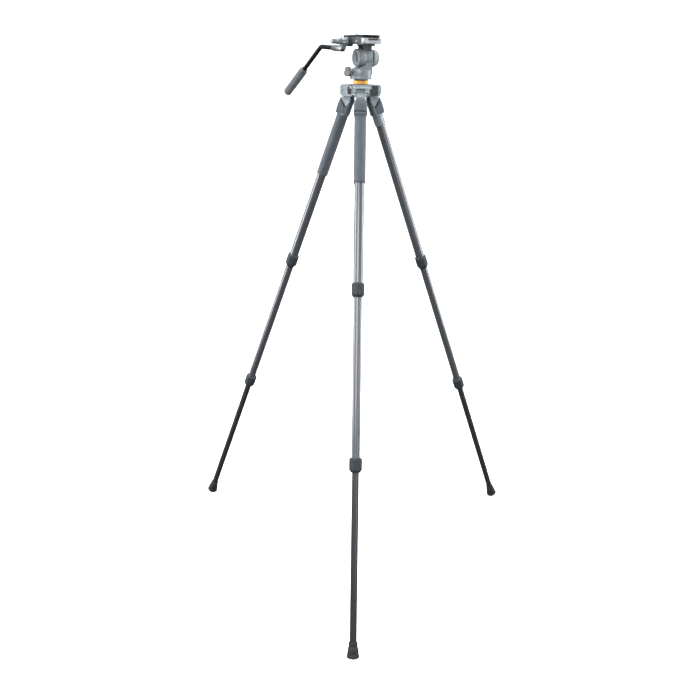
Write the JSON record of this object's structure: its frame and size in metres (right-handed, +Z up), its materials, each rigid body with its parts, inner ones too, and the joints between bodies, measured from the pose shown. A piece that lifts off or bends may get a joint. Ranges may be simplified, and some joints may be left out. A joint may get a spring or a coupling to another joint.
{
  "type": "tripod with fluid head",
  "caption": "Standing tripod with telescoping twist-lock legs, a centre column and a fluid pan and tilt head with sliding camera plate and pan handle.",
  "frame": {"origin": "on the floor under the centre column, midway between the feet", "axes": "+Z up along the centre column, -Y towards the front leg, +X to its right as seen from in front of the front leg"},
  "size_m": [1.0628, 0.925, 1.5735],
  "materials": {
    "cast_grey": "slate-grey powder coat over cast aluminium",
    "stop_plastic": "dark glass-filled plastic",
    "upper_carbon": "clear-coated carbon fibre tube",
    "lower_carbon": "woven carbon fibre tube",
    "lock_rubber": "ribbed rubber over plastic",
    "shim_plastic": "bearing plastic",
    "foot_rubber": "moulded rubber",
    "leg_foam": "closed-cell foam",
    "dark_steel": "black oxide",
    "satin_alloy": "satin",
    "dark_alloy": "dark anodised",
    "black_alloy": "black anodised",
    "gold_anodised": "gold anodised",
    "steel": "satin",
    "knob_plastic": "moulded plastic",
    "knob_grey": "grey rubberised plastic",
    "pad_rubber": "textured rubber",
    "handle_foam": "soft foam rubber"
  },
  "bodies": {
    "spider": {"spider": "satin_alloy", "hinge_bolts": "dark_steel"},
    "column": {"column_tube": "upper_carbon", "platform": "dark_alloy", "platform_ring": "gold_anodised", "head_stud": "steel", "pan_base": "cast_grey"},
    "column_lock": {"column_lock_knob": "knob_plastic"},
    "hook": {"column_hook": "steel"},
    "pan": {"pan_housing": "cast_grey"},
    "pan_lock": {"pan_lock_knob": "satin_alloy"},
    "tilt": {"tilt_drum": "cast_grey", "tilt_axle": "steel", "balance_spring": "steel", "drum_cap": "stop_plastic", "plate_clamp": "dark_alloy"},
    "drag": {"drag_knob": "knob_grey"},
    "tilt_lock": {"tilt_lock_lever": "satin_alloy"},
    "plate": {"camera_plate": "black_alloy", "plate_pad": "pad_rubber"},
    "slider": {"screw_slider": "dark_steel"},
    "screw": {"camera_screw": "steel"},
    "plate_lock": {"clamp_lever": "satin_alloy"},
    "button": {"safety_button": "steel"},
    "handle": {"handle_bracket": "satin_alloy", "handle_tube": "black_alloy", "handle_grip": "handle_foam"},
    "handle_lock": {"handle_knob": "satin_alloy"},
    "front_leg": {"front_casting": "cast_grey", "front_upper_tube": "upper_carbon", "front_grip": "leg_foam"},
    "front_stop": {"front_angle_stop": "stop_plastic"},
    "front_upper_twist": {"front_upper_lock": "lock_rubber"},
    "front_middle": {"front_middle_tube": "upper_carbon", "front_middle_shim": "shim_plastic"},
    "front_lower_twist": {"front_lower_lock": "lock_rubber"},
    "front_lower": {"front_lower_tube": "lower_carbon", "front_lower_shim": "shim_plastic", "front_foot": "foot_rubber"},
    "right_leg": {"right_casting": "cast_grey", "right_upper_tube": "upper_carbon"},
    "right_stop": {"right_angle_stop": "stop_plastic"},
    "right_upper_twist": {"right_upper_lock": "lock_rubber"},
    "right_middle": {"right_middle_tube": "upper_carbon", "right_middle_shim": "shim_plastic"},
    "right_lower_twist": {"right_lower_lock": "lock_rubber"},
    "right_lower": {"right_lower_tube": "lower_carbon", "right_lower_shim": "shim_plastic", "right_foot": "foot_rubber"},
    "left_leg": {"left_casting": "cast_grey", "left_upper_tube": "upper_carbon", "left_grip": "leg_foam"},
    "left_stop": {"left_angle_stop": "stop_plastic"},
    "left_upper_twist": {"left_upper_lock": "lock_rubber"},
    "left_middle": {"left_middle_tube": "upper_carbon", "left_middle_shim": "shim_plastic"},
    "left_lower_twist": {"left_lower_lock": "lock_rubber"},
    "left_lower": {"left_lower_tube": "lower_carbon", "left_lower_shim": "shim_plastic", "left_foot": "foot_rubber"}
  },
  "joints": [
    {"name": "head_pan", "type": "hinge", "parent": "column", "child": "pan", "pos_m": [0, 0, 1.463], "axis": [0, 0, 1], "continuous": true},
    {"name": "head_tilt", "type": "hinge", "parent": "pan", "child": "tilt", "pos_m": [0, 0, 1.5115], "axis": [0.8545, 0.5195, 0], "range_deg": [-45, 90]},
    {"name": "handle_angle", "type": "hinge", "parent": "tilt", "child": "handle", "pos_m": [-0.04457, -0.00369, 1.552], "axis": [-0.8545, -0.5195, 0], "range_deg": [-60, 40]},
    {"name": "column_height", "type": "slide", "parent": "spider", "child": "column", "axis": [0, 0, 1], "range_m": [0, 0.24]},
    {"name": "front_leg_spread", "type": "hinge", "parent": "spider", "child": "front_leg", "pos_m": [0, -0.0415, 1.4205], "axis": [-1, 0, 0], "range_deg": [-21.7, 58]},
    {"name": "right_leg_spread", "type": "hinge", "parent": "spider", "child": "right_leg", "pos_m": [0.03594, 0.02075, 1.4205], "axis": [0.5, -0.866, 0], "range_deg": [-21.7, 58]},
    {"name": "left_leg_spread", "type": "hinge", "parent": "spider", "child": "left_leg", "pos_m": [-0.03594, 0.02075, 1.4205], "axis": [0.5, 0.866, 0], "range_deg": [-21.7, 58]},
    {"name": "front_middle_slide", "type": "slide", "parent": "front_leg", "child": "front_middle", "axis": [0, -0.3697, -0.9291], "range_m": [-0.42, 0]},
    {"name": "front_lower_slide", "type": "slide", "parent": "front_middle", "child": "front_lower", "axis": [0, -0.3697, -0.9291], "range_m": [-0.42, 0]},
    {"name": "right_middle_slide", "type": "slide", "parent": "right_leg", "child": "right_middle", "axis": [0.3202, 0.1849, -0.9291], "range_m": [-0.42, 0]},
    {"name": "right_lower_slide", "type": "slide", "parent": "right_middle", "child": "right_lower", "axis": [0.3202, 0.1849, -0.9291], "range_m": [-0.42, 0]},
    {"name": "left_middle_slide", "type": "slide", "parent": "left_leg", "child": "left_middle", "axis": [-0.3202, 0.1849, -0.9291], "range_m": [-0.42, 0]},
    {"name": "left_lower_slide", "type": "slide", "parent": "left_middle", "child": "left_lower", "axis": [-0.3202, 0.1849, -0.9291], "range_m": [-0.42, 0]},
    {"name": "plate_slide", "type": "slide", "parent": "tilt", "child": "plate", "axis": [-0.5195, 0.8545, 0], "range_m": [-0.025, 0.025]},
    {"name": "plate_lock_lever", "type": "hinge", "parent": "tilt", "child": "plate_lock", "pos_m": [0.00511, -0.05845, 1.5535], "axis": [0, 0, 1], "range_deg": [-75, 0]},
    {"name": "tilt_lock_turn", "type": "hinge", "parent": "pan", "child": "tilt_lock", "pos_m": [0.02478, 0.01507, 1.5115], "axis": [-0.8545, -0.5195, 0], "range_deg": [-20, 50]},
    {"name": "column_lock_turn", "type": "hinge", "parent": "spider", "child": "column_lock", "pos_m": [0, 0.03, 1.4225], "axis": [0, 1, 0], "range_deg": [0, 360]},
    {"name": "pan_lock_turn", "type": "hinge", "parent": "pan", "child": "pan_lock", "pos_m": [-0.02563, -0.01559, 1.4745], "axis": [-0.8545, -0.5195, 0], "range_deg": [0, 360]},
    {"name": "handle_knob_turn", "type": "hinge", "parent": "handle", "child": "handle_lock", "pos_m": [-0.06166, -0.01408, 1.552], "axis": [-0.8545, -0.5195, 0], "range_deg": [0, 360]},
    {"name": "drag_knob_turn", "type": "hinge", "parent": "tilt", "child": "drag", "pos_m": [0.03418, 0.02078, 1.5115], "axis": [0.8545, 0.5195, 0], "range_deg": [0, 300]},
    {"name": "screw_slide", "type": "slide", "parent": "plate", "child": "slider", "axis": [-0.5195, 0.8545, 0], "range_m": [-0.032, 0.006]},
    {"name": "camera_screw_turn", "type": "hinge", "parent": "slider", "child": "screw", "pos_m": [-0.01351, 0.02222, 1.5645], "axis": [0, 0, 1], "continuous": true},
    {"name": "safety_button_press", "type": "slide", "parent": "tilt", "child": "button", "axis": [0.8545, 0.5195, 0], "range_m": [0, 0.002], "stiffness_N_per_m": 400},
    {"name": "hook_pull", "type": "slide", "parent": "column", "child": "hook", "axis": [0, 0, -1], "range_m": [0, 0.025], "stiffness_N_per_m": 300, "springref_m": -0.005},
    {"name": "front_stop_press", "type": "hinge", "parent": "front_leg", "child": "front_stop", "pos_m": [0, -0.05637, 1.37368], "axis": [1, 0, 0], "range_deg": [0, 15], "stiffness_Nm_per_rad": 0.6, "springref_deg": -5.73},
    {"name": "right_stop_press", "type": "hinge", "parent": "right_leg", "child": "right_stop", "pos_m": [0.04881, 0.02818, 1.37368], "axis": [-0.5, 0.866, 0], "range_deg": [0, 15], "stiffness_Nm_per_rad": 0.6, "springref_deg": -5.73},
    {"name": "left_stop_press", "type": "hinge", "parent": "left_leg", "child": "left_stop", "pos_m": [-0.04881, 0.02818, 1.37368], "axis": [-0.5, -0.866, 0], "range_deg": [0, 15], "stiffness_Nm_per_rad": 0.6, "springref_deg": -5.73},
    {"name": "front_upper_lock_twist", "type": "hinge", "parent": "front_leg", "child": "front_upper_twist", "pos_m": [0, -0.23253, 0.91748], "axis": [0, 0.3697, 0.9291], "range_deg": [0, 120]},
    {"name": "front_lower_lock_twist", "type": "hinge", "parent": "front_middle", "child": "front_lower_twist", "pos_m": [0, -0.40705, 0.47893], "axis": [0, 0.3697, 0.9291], "range_deg": [0, 120]},
    {"name": "right_upper_lock_twist", "type": "hinge", "parent": "right_leg", "child": "right_upper_twist", "pos_m": [0.20137, 0.11626, 0.91748], "axis": [-0.3202, -0.1849, 0.9291], "range_deg": [0, 120]},
    {"name": "right_lower_lock_twist", "type": "hinge", "parent": "right_middle", "child": "right_lower_twist", "pos_m": [0.35251, 0.20352, 0.47893], "axis": [-0.3202, -0.1849, 0.9291], "range_deg": [0, 120]},
    {"name": "left_upper_lock_twist", "type": "hinge", "parent": "left_leg", "child": "left_upper_twist", "pos_m": [-0.20137, 0.11626, 0.91748], "axis": [0.3202, -0.1849, 0.9291], "range_deg": [0, 120]},
    {"name": "left_lower_lock_twist", "type": "hinge", "parent": "left_middle", "child": "left_lower_twist", "pos_m": [-0.35251, 0.20352, 0.47893], "axis": [0.3202, -0.1849, 0.9291], "range_deg": [0, 120]}
  ]
}
